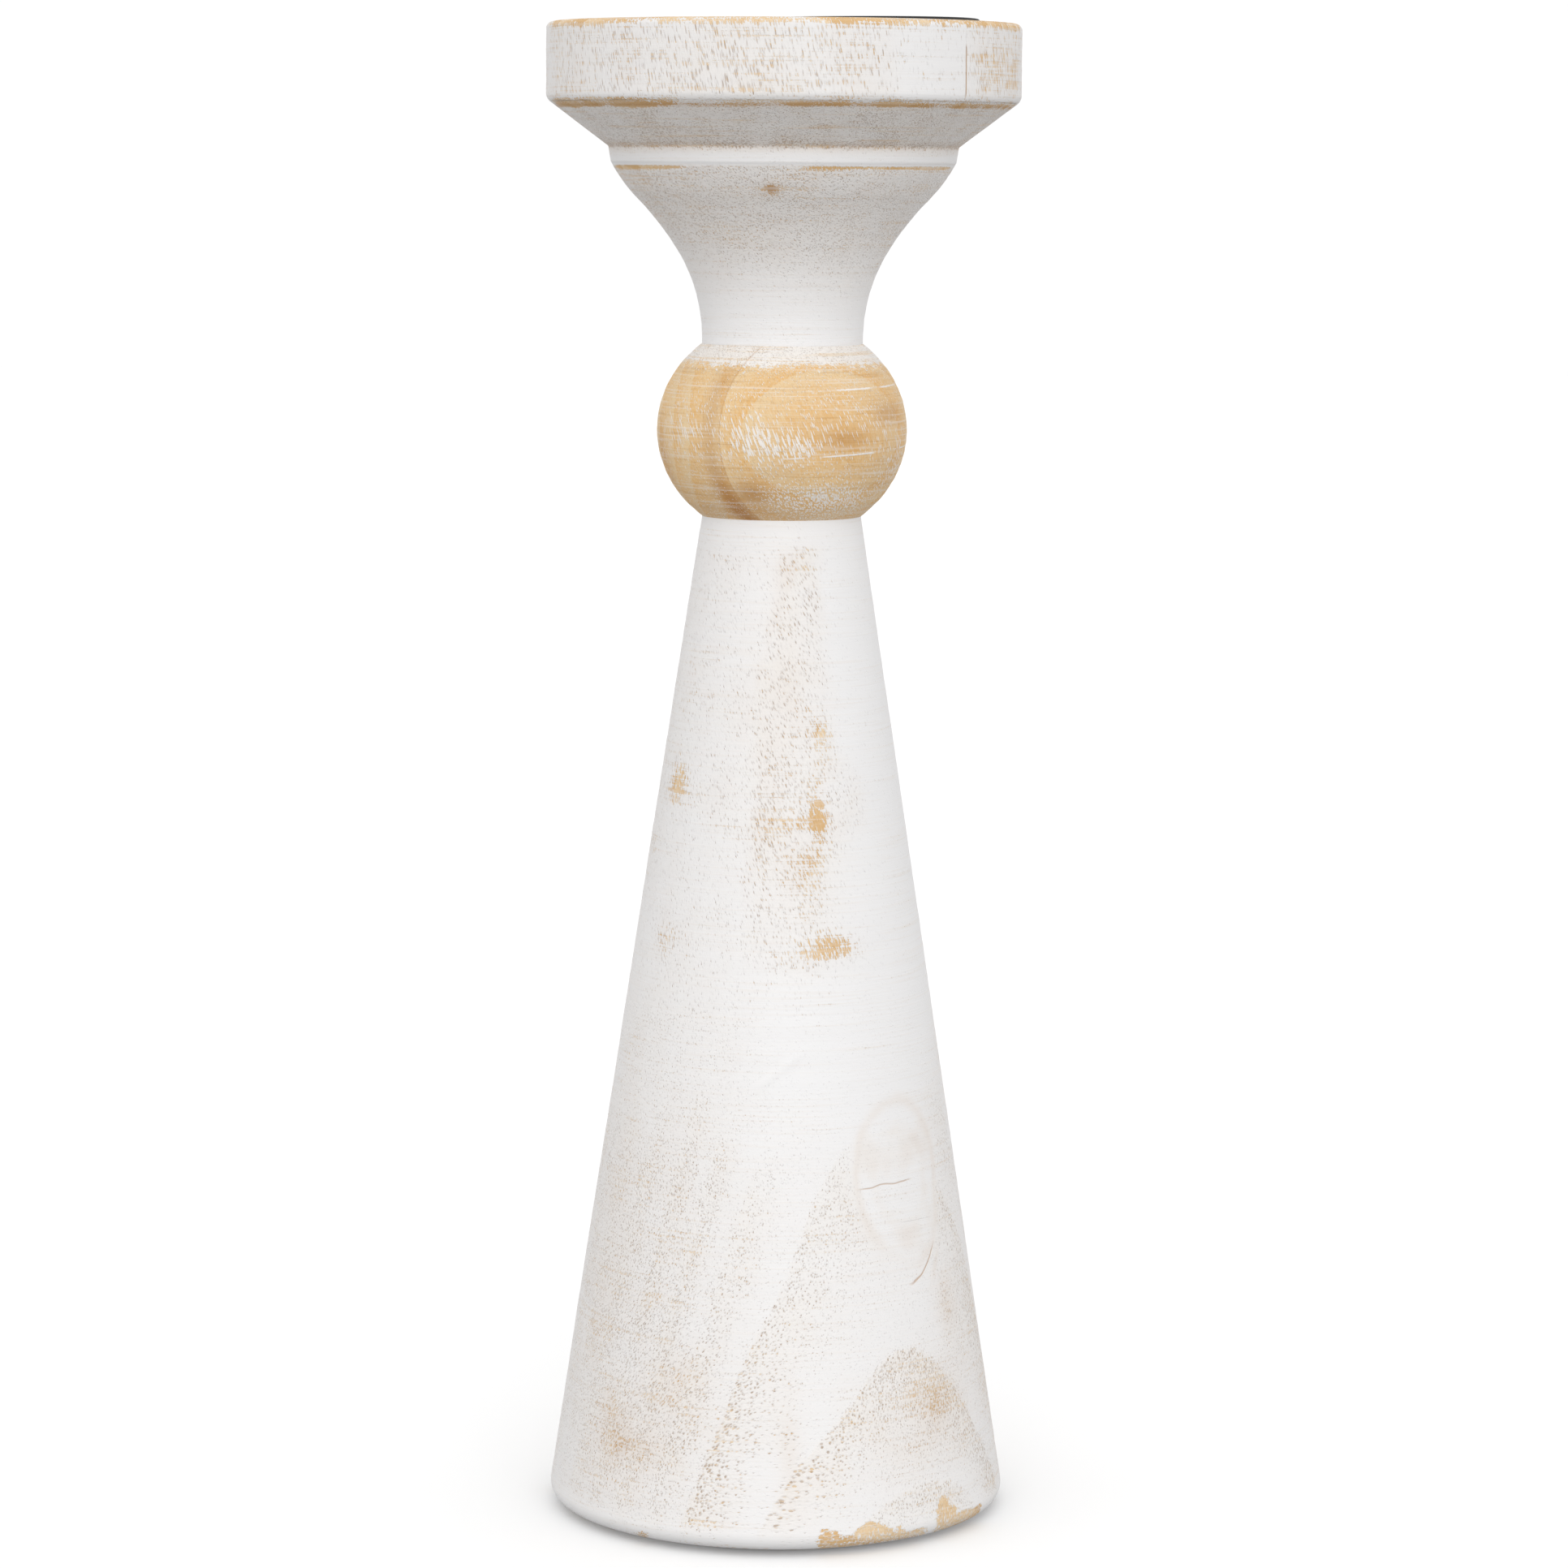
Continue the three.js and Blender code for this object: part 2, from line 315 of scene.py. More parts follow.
# The values each wooden surface carries at every vertex, beside its place in the wood's grain.
SURFACE_FIELDS = (
    "pores", "bare", "streaks", "caught", "stain", "season", "line", "line_strength", "scratch",
    "scratch_strength",
)
PORE_SHADE = "#9a8067"


def rubbed_paint_on_wood(name, paint, wood, late_wood, deep, chip_strength):
    """Open-pored softwood, turned, brushed with one thin coat of matt white paint, and rubbed back.

    The paint dips into each pore and leaves the wood showing in the larger ones. Rubbing widens them
    until only a net of paint is left between them, and chips take the rest. On bare wood, paint stays
    caught in the grain. Lathe marks and sanding marks run round the turning.
    Attributes: grain is the place in the wood in millimetres, with Z along the fibres; pores, bare,
    streaks, caught and stain are strengths from 0 to 1, and bare above 2 is chipped; season is the
    ring's phase; line and scratch are distances in millimetres to a dark crack or glue line and to a
    white scratch, and line_strength and scratch_strength are how strong those are. chip_strength is
    how much of the wood's colour shows in a chip, through what the paint left in it.
    The patterns are at their real size: pores 0.35 mm apart, lathe marks 0.4 mm apart."""
    material, tree = new_material(name)
    field = {}
    for label in SURFACE_FIELDS:
        field[label] = put(tree, "ShaderNodeAttribute", {}, output=2, attribute_name=label)
    grain = put(tree, "ShaderNodeAttribute", {}, output=1, attribute_name="grain")
    place = put(tree, "ShaderNodeTexCoord", {}, output=3)

    # Patterns. Lathe and sanding marks are 0.2 to 0.6 mm apart and 20 mm long round the turning.
    marks_at = put(tree, "ShaderNodeMapping", {"Vector": place, "Scale": (45, 45, 2400)})
    marks = put(tree, "ShaderNodeTexNoise", {"Vector": marks_at, "Scale": 1.0, "Detail": 4.0})
    hairs_at = put(tree, "ShaderNodeMapping", {"Vector": grain, "Scale": (3.2, 3.2, 0.12)})
    hairs = put(tree, "ShaderNodeTexNoise", {"Vector": hairs_at, "Scale": 1.0, "Detail": 3.0})
    clouds_at = put(tree, "ShaderNodeMapping", {"Vector": place, "Scale": (120, 120, 120)})
    clouds = put(tree, "ShaderNodeTexNoise", {"Vector": clouds_at, "Scale": 1.0, "Detail": 4.0})
    ragged_at = put(tree, "ShaderNodeMapping", {"Vector": place, "Scale": (1500, 1500, 1500)})
    ragged = put(tree, "ShaderNodeTexNoise", {"Vector": ragged_at, "Scale": 1.0, "Detail": 3.0})
    crinkle_at = put(tree, "ShaderNodeMapping", {"Vector": grain, "Scale": (3.6, 3.6, 1.7)})
    crinkle = put(tree, "ShaderNodeTexNoise", {"Vector": crinkle_at, "Scale": 1.0, "Detail": 2.0})
    # Pores stand about 0.35 mm apart across the fibres and 0.7 mm along them, a little out of line.
    pits_at = put(tree, "ShaderNodeMapping", {"Vector": grain, "Scale": (2.8, 2.8, 1.45)})
    shaken = put(tree, "ShaderNodeTexNoise", {"Vector": grain, "Scale": 1.7, "Detail": 1.0}, output=1)
    pits_at = put(
        tree, "ShaderNodeVectorMath", {0: shaken, 1: (0.7, 0.7, 0.7), 2: pits_at},
        operation="MULTIPLY_ADD",
    )
    pit = put(tree, "ShaderNodeTexVoronoi", {"Vector": pits_at, "Scale": 1.0})
    pit_luck = put(tree, "ShaderNodeSeparateColor", {0: pit.node.outputs["Color"]})
    # Strokes of paint caught in gashes of the grain, about 0.4 mm apart and 2.6 mm long.
    gash_at = put(tree, "ShaderNodeMapping", {"Vector": grain, "Scale": (2.6, 2.6, 0.38)})
    gash = put(tree, "ShaderNodeTexVoronoi", {"Vector": gash_at, "Scale": 1.0})

    # How far the paint is open: the pore level, raised by rubbing, against the distance to a pit.
    level = put(tree, "ShaderNodeMath", {0: field["pores"], 1: 0.3, 2: -0.11}, operation="MULTIPLY_ADD")
    level = put(tree, "ShaderNodeMath", {0: pit_luck, 1: 0.15, 2: level}, operation="MULTIPLY_ADD")
    wear = put(tree, "ShaderNodeMath", {0: marks, 1: 2.0, 2: field["bare"]}, operation="MULTIPLY_ADD")
    wear = put(tree, "ShaderNodeMath", {0: clouds, 1: 0.6, 2: wear}, operation="MULTIPLY_ADD")
    wear = put(tree, "ShaderNodeMath", {0: crinkle, 1: 1.0, 2: wear}, operation="MULTIPLY_ADD")
    rubbed = put(tree, "ShaderNodeMapRange", {0: wear, 1: 1.85, 2: 3.0, 3: 0.0, 4: 0.6}, **SMOOTH)
    opened = put(tree, "ShaderNodeMath", {0: level, 1: rubbed}, operation="ADD")
    opened = put(tree, "ShaderNodeMath", {0: opened, 1: pit}, operation="SUBTRACT")
    hole = put(tree, "ShaderNodeMapRange", {0: opened, 1: -0.07, 2: 0.07, 3: 0.0, 4: 1.0}, **SMOOTH)
    dip = put(tree, "ShaderNodeMapRange", {0: opened, 1: -0.3, 2: 0.08, 3: 0.0, 4: 1.0}, **SMOOTH)
    # Small pores show paler than large ones, and rubbed wood shows at full strength.
    shows = put(tree, "ShaderNodeMath", {0: pit_luck, 1: 3.0}, operation="POWER")
    shows = put(tree, "ShaderNodeMath", {0: shows, 1: 0.4, 2: 0.37}, operation="MULTIPLY_ADD")
    shows = put(tree, "ShaderNodeMath", {0: rubbed, 1: 1.3, 2: shows}, operation="MULTIPLY_ADD")
    shows = put(tree, "ShaderNodeMath", {0: shows, 1: 0.93}, operation="MINIMUM")
    hole = put(tree, "ShaderNodeMath", {0: hole, 1: shows}, operation="MULTIPLY")
    chip_edge = put(
        tree, "ShaderNodeMath", {0: ragged, 1: 1.5, 2: field["bare"]}, operation="MULTIPLY_ADD"
    )
    chip_edge = put(
        tree, "ShaderNodeMath", {0: crinkle, 1: 2.6, 2: chip_edge}, operation="MULTIPLY_ADD"
    )
    chip_edge = put(tree, "ShaderNodeMath", {0: clouds, 1: 0.8, 2: chip_edge}, operation="MULTIPLY_ADD")
    chip = put(tree, "ShaderNodeMapRange", {0: chip_edge, 1: 4.3, 2: 4.55, 3: 0.0, 4: 1.0}, **SMOOTH)
    streak = put(
        tree, "ShaderNodeMath", {0: marks, 1: 1.6, 2: field["streaks"]}, operation="MULTIPLY_ADD"
    )
    streak = put(tree, "ShaderNodeMapRange", {0: streak, 1: 1.05, 2: 1.6, 3: 0.0, 4: 0.75}, **SMOOTH)
    caught = put(tree, "ShaderNodeMath", {0: field["caught"], 1: 0.75}, operation="MULTIPLY")
    caught = put(tree, "ShaderNodeMath", {0: caught, 1: gash}, operation="SUBTRACT")
    caught = put(tree, "ShaderNodeMath", {0: marks, 1: 0.25, 2: caught}, operation="MULTIPLY_ADD")
    caught = put(tree, "ShaderNodeMath", {0: ragged, 1: 0.14, 2: caught}, operation="MULTIPLY_ADD")
    caught = put(tree, "ShaderNodeMapRange", {0: caught, 1: 0.1, 2: 0.22, 3: 0.0, 4: 1.0}, **SMOOTH)

    # Colours of the wood, of the paint over it, and of the two together.
    ripe = put(tree, "ShaderNodeMath", {0: hairs, 1: 1.3, 2: field["season"]}, operation="MULTIPLY_ADD")
    ripe = put(tree, "ShaderNodeMapRange", {0: ripe, 1: 0.5, 2: 1.5, 3: 0.0, 4: 1.0}, **SMOOTH)
    wood_colour = put(tree, "ShaderNodeMix", {0: ripe, 6: linear(wood), 7: linear(late_wood)}, **COLOURS)
    wood_colour = put(tree, "ShaderNodeMix", {0: field["stain"], 6: wood_colour, 7: linear(deep)}, **COLOURS)
    thin = put(tree, "ShaderNodeMapRange", {0: marks, 1: 0.5, 2: 0.75, 3: 0.0, 4: 0.13}, **SMOOTH)
    blotch = put(tree, "ShaderNodeMath", {0: field["pores"], 1: clouds}, operation="MULTIPLY")
    thin = put(tree, "ShaderNodeMath", {0: blotch, 1: 0.2, 2: thin}, operation="MULTIPLY_ADD")
    thin = put(tree, "ShaderNodeMath", {0: field["stain"], 1: 0.42, 2: thin}, operation="MULTIPLY_ADD")
    thin = put(tree, "ShaderNodeMath", {0: thin, 1: streak}, operation="MAXIMUM")
    # The turning tool leaves bare wood finely lined, pale where sanding paste stayed in the lines.
    pasted = put(tree, "ShaderNodeMapRange", {0: marks, 1: 0.52, 2: 0.72, 3: 0.0, 4: 0.4}, **SMOOTH)
    wood_colour = put(tree, "ShaderNodeMix", {0: pasted, 6: wood_colour, 7: linear(paint)}, **COLOURS)
    shaded = put(tree, "ShaderNodeMapRange", {0: marks, 1: 0.44, 2: 0.3, 3: 0.0, 4: 0.3}, **SMOOTH)
    wood_colour = put(tree, "ShaderNodeMix", {0: shaded, 6: wood_colour, 7: linear(deep)}, **COLOURS)
    # In bare wood the larger pores stay darker.
    near_pit = put(tree, "ShaderNodeMapRange", {0: pit, 1: 0.34, 2: 0.1, 3: 0.0, 4: 0.6}, **SMOOTH)
    speck = put(tree, "ShaderNodeMath", {0: pit_luck, 1: field["pores"]}, operation="MULTIPLY")
    speck = put(tree, "ShaderNodeMath", {0: near_pit, 1: speck}, operation="MULTIPLY")
    wood_colour = put(tree, "ShaderNodeMix", {0: speck, 6: wood_colour, 7: linear(deep)}, **COLOURS)
    coat = put(tree, "ShaderNodeMix", {0: thin, 6: linear(paint), 7: wood_colour}, **COLOURS)
    worn = put(tree, "ShaderNodeMapRange", {0: rubbed, 1: 0.0, 2: 0.12, 3: 0.0, 4: 1.0}, **SMOOTH)
    pore_colour = put(tree, "ShaderNodeMix", {0: worn, 6: linear(PORE_SHADE), 7: wood_colour}, **COLOURS)
    chipped = put(tree, "ShaderNodeMath", {0: chip, 1: chip_strength}, operation="MULTIPLY")
    gone = put(tree, "ShaderNodeMath", {0: hole, 1: chipped}, operation="MAXIMUM")
    gone = put(tree, "ShaderNodeMath", {0: gone, 1: caught}, operation="SUBTRACT")
    gone = put(tree, "ShaderNodeMath", {0: gone, 1: 0.0}, operation="MAXIMUM")
    colour = put(tree, "ShaderNodeMix", {0: gone, 6: coat, 7: pore_colour}, **COLOURS)
    # The scratch is broken where clouds are low, and the dark line is 0.3 mm wide.
    beside = put(
        tree, "ShaderNodeMath", {0: ragged, 1: 0.3, 2: field["scratch"]}, operation="MULTIPLY_ADD"
    )
    beside = put(tree, "ShaderNodeMath", {0: beside}, operation="ABSOLUTE")
    scratch = put(tree, "ShaderNodeMapRange", {0: beside, 1: 0.24, 2: 0.1, 3: 0.0, 4: 1.0}, **SMOOTH)
    scratch = put(
        tree, "ShaderNodeMath", {0: scratch, 1: field["scratch_strength"]}, operation="MULTIPLY"
    )
    unbroken = put(tree, "ShaderNodeMapRange", {0: clouds, 1: 0.42, 2: 0.52, 3: 0.0, 4: 1.0}, **SMOOTH)
    scratch = put(tree, "ShaderNodeMath", {0: scratch, 1: unbroken}, operation="MULTIPLY")
    colour = put(tree, "ShaderNodeMix", {0: scratch, 6: colour, 7: linear(paint)}, **COLOURS)
    beside = put(tree, "ShaderNodeMath", {0: field["line"]}, operation="ABSOLUTE")
    dark = put(tree, "ShaderNodeMapRange", {0: beside, 1: 0.24, 2: 0.06, 3: 0.0, 4: 1.0}, **SMOOTH)
    dark = put(tree, "ShaderNodeMath", {0: dark, 1: field["line_strength"]}, operation="MULTIPLY")
    colour = put(tree, "ShaderNodeMix", {0: dark, 6: colour, 7: linear(deep)}, **COLOURS)

    depth = put(tree, "ShaderNodeMath", {0: marks, 1: 0.25, 2: 0.6}, operation="MULTIPLY_ADD")
    crackle = put(tree, "ShaderNodeMath", {0: crinkle, 1: field["pores"]}, operation="MULTIPLY")
    depth = put(tree, "ShaderNodeMath", {0: crackle, 1: 0.5, 2: depth}, operation="MULTIPLY_ADD")
    depth = put(tree, "ShaderNodeMath", {0: dip, 1: -0.4, 2: depth}, operation="MULTIPLY_ADD")
    raised = put(tree, "ShaderNodeMath", {0: caught, 1: scratch}, operation="ADD")
    depth = put(tree, "ShaderNodeMath", {0: raised, 1: 0.2, 2: depth}, operation="MULTIPLY_ADD")
    depth = put(tree, "ShaderNodeMath", {0: dark, 1: -0.5, 2: depth}, operation="MULTIPLY_ADD")
    depth = put(tree, "ShaderNodeMath", {0: chip, 1: -0.3, 2: depth}, operation="MULTIPLY_ADD")
    roughness = put(tree, "ShaderNodeMapRange", {0: gone, 1: 0.0, 2: 1.0, 3: 0.6, 4: 0.72}, **SMOOTH)
    look = {"Base Color": colour, "Roughness": roughness, "IOR": 1.5}
    finish_material(tree, look, depth, relief_depth=0.18)
    return material


def black_powder_coat():
    """Pressed mild steel sheet, sprayed and baked in dull black powder coat: orange peel 0.7 mm apart."""
    material, tree = new_material("black_powder_coated_steel")
    place = put(tree, "ShaderNodeTexCoord", {}, output=3)
    peel = put(tree, "ShaderNodeTexNoise", {"Vector": place, "Scale": 1400.0, "Detail": 2.0})
    rub = put(tree, "ShaderNodeTexNoise", {"Vector": place, "Scale": 60.0, "Detail": 4.0})
    colour = put(tree, "ShaderNodeMix", {0: rub, 6: linear("#0a0a0b"), 7: linear("#161618")}, **COLOURS)
    roughness = put(tree, "ShaderNodeMapRange", {0: rub, 1: 0.3, 2: 0.7, 3: 0.6, 4: 0.75})
    look = {"Base Color": colour, "Roughness": roughness, "IOR": 1.45}
    finish_material(tree, look, peel, relief_depth=0.03)
    return material


def wool_felt():
    """Needled grey-brown felt: a mat of curled fibres 0.6 mm apart, in clumps of 6 mm, with no gloss."""
    material, tree = new_material("needled_felt")
    place = put(tree, "ShaderNodeTexCoord", {}, output=3)
    fibres = put(tree, "ShaderNodeTexNoise", {"Vector": place, "Scale": 1600.0, "Detail": 4.0})
    clumps = put(tree, "ShaderNodeTexNoise", {"Vector": place, "Scale": 180.0, "Detail": 2.0})
    both = put(tree, "ShaderNodeMath", {0: fibres, 1: clumps}, operation="MULTIPLY")
    spread = put(tree, "ShaderNodeMapRange", {0: both, 1: 0.12, 2: 0.4, 3: 0.0, 4: 1.0})
    colour = put(tree, "ShaderNodeMix", {0: spread, 6: linear("#35302b"), 7: linear("#6a625a")}, **COLOURS)
    finish_material(tree, {"Base Color": colour, "Roughness": 0.95, "Sheen Weight": 0.4}, fibres, 0.25)
    return material


def beech_dowel():
    """Fluted beech pin, turned: pale pinkish brown, with darker rays 0.6 mm wide and 3 mm long."""
    material, tree = new_material("beech_dowel")
    place = put(tree, "ShaderNodeTexCoord", {}, output=3)
    drawn = put(tree, "ShaderNodeMapping", {"Vector": place, "Scale": (1800, 1800, 300)})
    rays = put(tree, "ShaderNodeTexNoise", {"Vector": drawn, "Scale": 1.0, "Detail": 3.0})
    spread = put(tree, "ShaderNodeMapRange", {0: rays, 1: 0.35, 2: 0.65, 3: 0.0, 4: 1.0})
    colour = put(tree, "ShaderNodeMix", {0: spread, 6: linear("#c79b6c"), 7: linear("#dcb98c")}, **COLOURS)
    finish_material(tree, {"Base Color": colour, "Roughness": 0.7, "IOR": 1.5}, rays, 0.05)
    return material


# ---------- the cone base ----------

FOOT_RADIUS = node_box("base_front_board")[1][0]
FOOT_EDGE = 3.4
CONE_TOP_RADIUS = 16.9


# Where rubbing went through the paint: azimuth, height, half width, half height and strength.
CONE_RUBS = (
    (18.7, 151.9, 2.0, 5.6, 0.85),
    (21.8, 168.6, 2.6, 5.0, 0.5),
    (11.0, 151.0, 5.0, 2.0, 0.4),
    (15.0, 141.0, 3.0, 6.0, 0.3),
    (10.0, 134.0, 4.0, 7.0, 0.2),
    (-58.2, 157.1, 4.2, 4.4, 0.95),
    (21.5, 124.9, 6.6, 2.8, 0.85),
    (10.0, 122.0, 9.0, 3.5, 0.35),
    (-52.1, 125.0, 4.0, 3.4, 0.4),
    (128.0, 140.0, 5.0, 4.0, 0.85),
    (-120.0, 95.0, 5.0, 3.0, 0.8),
    (176.0, 170.0, 3.0, 5.0, 0.8),
    (-95.0, 185.0, 3.5, 3.0, 0.6),
)
# Soft beige where the paint went on thin over crowded pores, in the same terms.
CONE_HAZES = (
    (-43.4, 20.8, 10.0, 8.0, 1.15), (-28.0, 33.0, 9.0, 9.0, 0.5), (51.0, 27.0, 7.0, 7.0, 0.95),
    (60.0, 47.0, 4.5, 8.0, 0.65), (3.5, 20.0, 2.5, 10.0, 0.5), (2.0, 201.0, 3.5, 8.0, 0.3),
    (38.0, 24.0, 12.0, 11.0, 0.4), (-62.0, 60.0, 8.0, 30.0, 0.35), (14.0, 140.0, 8.0, 14.0, 0.3),
    (-9.0, 172.0, 6.0, 12.0, 0.35), (3.0, 184.0, 4.5, 14.0, 0.4), (150.0, 60.0, 10.0, 9.0, 0.7),
    (-160.0, 30.0, 13.0, 10.0, 0.8), (105.0, 105.0, 8.0, 14.0, 0.5), (-100.0, 150.0, 6.0, 16.0, 0.5),
)
# Paint chipped off the foot: first and last azimuth, and height.
FOOT_CHIPS = (
    (11, 31, 4.6), (32, 41, 5.4), (45, 64, 6.4), (-37, -34.5, 3.0),
    (118, 131, 4.2), (166, 171, 3.2), (-142, -128, 4.8), (-98, -94, 3.0),
)
KNOT = {"azimuth": 43.2, "height": 74.8, "half_width": 12.0, "half_height": 17.0}


def cone_outline():
    """A flat foot, a quarter-round edge that runs into a straight flank, a flat top, and the pin's hole."""
    lean = math.degrees(math.atan((FOOT_RADIUS - CONE_TOP_RADIUS) / (CONE_TOP - FOOT_EDGE)))
    top = CONE_TOP + CLOSE_UP
    hole_floor = LOWER_PIN[0] - PIN_END_GAP
    edge = round_stretch((FOOT_RADIUS - FOOT_EDGE, FOOT_EDGE), (FOOT_EDGE, FOOT_EDGE), -90, lean, 0.5)
    return joined(
        straight((0, 0), (FOOT_RADIUS - FOOT_EDGE, 0), 6),
        edge,
        straight(edge[-1], (CONE_TOP_RADIUS, CONE_TOP), 0.95),
        straight((CONE_TOP_RADIUS, top), (PIN_HOLE, top), 3),
        straight((PIN_HOLE, hole_floor), (0, hole_floor), 6),
    )


def cone_relief(at):
    """Lathe ridges a few hundredths of a millimetre high, slow waves, and a smear of thick paint."""
    side = fade(at["radius"], CONE_TOP_RADIUS - 0.8, CONE_TOP_RADIUS)
    ridges = 0.035 * lumps(at["points"] * [0.05, 0.05, 1], 1.7, 31)
    waves = 0.07 * rough(at["points"], 22, 17)
    smear = patch(at, -1, 98.5, 0.7, 4.0, slant=-52) + 0.6 * patch(at, 5, 101, 0.6, 1.8, slant=-40)
    return side * (ridges + waves + 0.22 * smear)


def cone_stains(at):
    """Crowded pores in the growth rings, rubbed and hazy patches, foot chips, and a knot."""
    ring = growth(at, "base")
    season, sharp, distance = ring["season"], ring["sharp"], ring["distance"]
    points, height = at["points"], at["height"]
    broad = rough(points, 30, 3)
    small = rough(points, 6, 9)
    rightward, frontward = np.sin(np.radians(at["azimuth"])), np.cos(np.radians(at["azimuth"]))
    # Pores crowd where a season's growth starts, and thin out through it. Below about 80 mm every
    # season shows; above it only one does, in a strip down the front.
    opening = sharp * (1 - fade(season, 0.1, 0.9 + 0.3 * broad))
    opening = opening + 0.5 * (1 - sharp) * (0.5 + 0.5 * np.cos(2 * np.pi * (season - 0.3)))
    away = np.abs(turn_from(at["azimuth"], 25))
    sheltered = fade(away, 20, 60)
    low_part = 1 - fade(height + 14 * broad - 16 * sheltered, 62, 98)
    inside = distance + 1.5 * small
    inner = fade(inside, 52.4, 54.6) * (1 - fade(inside, 60, 68)) * fade(height, 108, 130)
    inner = inner * (1 - fade(rightward + 0.14 * small, 0.3, 0.56)) * fade(frontward, 0.1, 0.5)
    inner = inner * fade(rightward + 0.1 * small, -0.4, -0.14)
    inner = inner * (0.9 + 0.35 * broad)
    spotted = fade(rough(points, 26, 87) + 0.25 * inner, 0.2, 0.6) * (1 - low_part)
    opening = opening * (1 - 0.55 * fade(-rightward, 0.34, 0.7))
    pores = low_part * (0.24 + (0.34 + 0.35 * broad) * sheltered + opening * (0.8 + 0.3 * broad))
    pores = pores + low_part * 0.15 * sharp * (season < 0.12)
    pores = np.maximum(pores, inner * (1.15 + 0.5 * broad + 0.15 * opening))
    pores = np.maximum(pores, 0.6 * spotted)
    pores = np.maximum(pores, (0.42 + 0.25 * broad) * fade(-rightward, -0.1, 0.4))
    bare = 0.12 * small + 0.14 * broad + 0.12 * inner + 0.08 * low_part * opening
    for azimuth, middle, half_width, half_height, strength in CONE_RUBS:
        rub = patch(at, azimuth, middle, half_width, half_height)
        bare = bare + strength * rub
        pores = pores + 0.7 * rub * (1 - pores)
    haze = np.zeros_like(pores)
    for azimuth, middle, half_width, half_height, strength in CONE_HAZES:
        haze = haze + strength * patch(at, azimuth, middle, half_width, half_height)
    haze = haze * (1 + 0.5 * small)
    pores = pores + 0.9 * haze * (1 - np.minimum(pores, 1))
    bare = bare + 0.22 * haze
    pores = pores * fade(212.5 - height, 2, 9) * fade(height, 0.5, 7)
    foot_wear = 0.5 * (1 - fade(height, 0.2, 2.0 + 1.5 * small))
    chipped = np.zeros_like(pores)
    for first, last, top in FOOT_CHIPS:
        edge = top * (0.75 + 0.9 * rough(points, 5, 71))
        chipped = np.maximum(chipped, stretch(at, first, last, 0.6, edge, 1.6))
    foot_wear = foot_wear + 2.6 * chipped
    bare = bare + foot_wear
    # A knot under the paint: two faint warm rings, a crack across it, and a bark pocket below.
    across = np.radians(turn_from(at["azimuth"], KNOT["azimuth"])) * at["radius"]
    up = height - KNOT["height"]
    wavy = 0.16 * rough(points, 12, 91)
    reach = np.hypot(across / KNOT["half_width"], up / KNOT["half_height"]) + wavy
    in_knot = 1 - fade(reach, 0.9, 1.25)
    pores = pores * (1 - 0.9 * in_knot)
    rings = np.exp(-((reach - 1) / 0.08) ** 2) + 0.5 * np.exp(-((reach - 0.6) / 0.1) ** 2)
    rings = rings * (0.65 + 0.6 * rough(points, 9, 93)) * fade(1.4 - reach, 0, 0.1)
    filled = 0.34 * in_knot * fade(rough(points, 9, 95), -0.1, 0.5)
    crack = up + 0.2 - 0.045 * (across + 4) - 0.45 * lumps(points, 2.2, 77)
    cracked = fade(across, -12, -9) * fade(-across, -4, -1)
    pocket = patch(at, 55.5, 56.5, 0.8, 3.6, slant=-28)
    # The bark pocket's thin dark rim, a curve that rises to the right.
    beside = np.radians(turn_from(at["azimuth"], 50)) * at["radius"]
    bark = 0.7 * (height - 56 - 0.9 * beside - 0.07 * beside**2 - 0.4 * lumps(points, 1.6, 79))
    barked = 0.6 * fade(beside, -6, -3) * fade(-beside, -4.5, -2.5)
    nearer = barked > 0.02
    lean = 14 * fade(height, 80, 150) - 14 * (1 - fade(height, 15, 80)) * (1 - fade(rightward, -0.5, 0.5))
    return {
        "grain": along_fibres(at, lean, 110, 0.45),
        "pores": pores,
        "bare": bare + 0.3 * pocket,
        "streaks": 0.08 + 0.1 * small + 0.12 * broad,
        "stain": np.clip(0.36 * rings + 0.3 * pocket + 0.34 * haze + filled, 0, 1),
        "caught": 0.34 * chipped,
        "season": season,
        "line": np.where(nearer & (height < 66), bark, crack),
        "line_strength": np.where(height < 66, barked, 0.5 * cracked),
    }


# ---------- the bead ----------

BEAD_RADIUS = 26.5
BEAD_HALF_RISE = 23.7


# White strokes of paint left in the grain, and darker stains: azimuth, height, half width, half
# height and strength.
BEAD_STROKES = (
    (-18, 231.5, 4.5, 5.5, 0.34), (-4, 229, 6.5, 4.0, 0.36), (12, 228.5, 5.0, 3.0, 0.3),
    (-50, 231, 7.0, 5.5, 0.26), (38, 234, 9.0, 4.0, 0.14), (28, 217.5, 12.0, 4.0, 0.46),
    (70, 224, 5.0, 5.0, 0.2),
    (110, 235, 8.0, 4.0, 0.4), (165, 226, 9.0, 4.0, 0.5), (-130, 233, 8.0, 5.0, 0.4),
)
BEAD_STAINS = (
    (31, 230.5, 6.0, 2.4, 0.5), (60, 235.5, 6.0, 2.6, 0.45), (-16, 219, 4.0, 2.8, 0.65),
    (-75, 226, 3.0, 8.0, 0.3), (130, 222, 6.0, 3.0, 0.4), (-150, 240, 6.0, 3.0, 0.4),
)


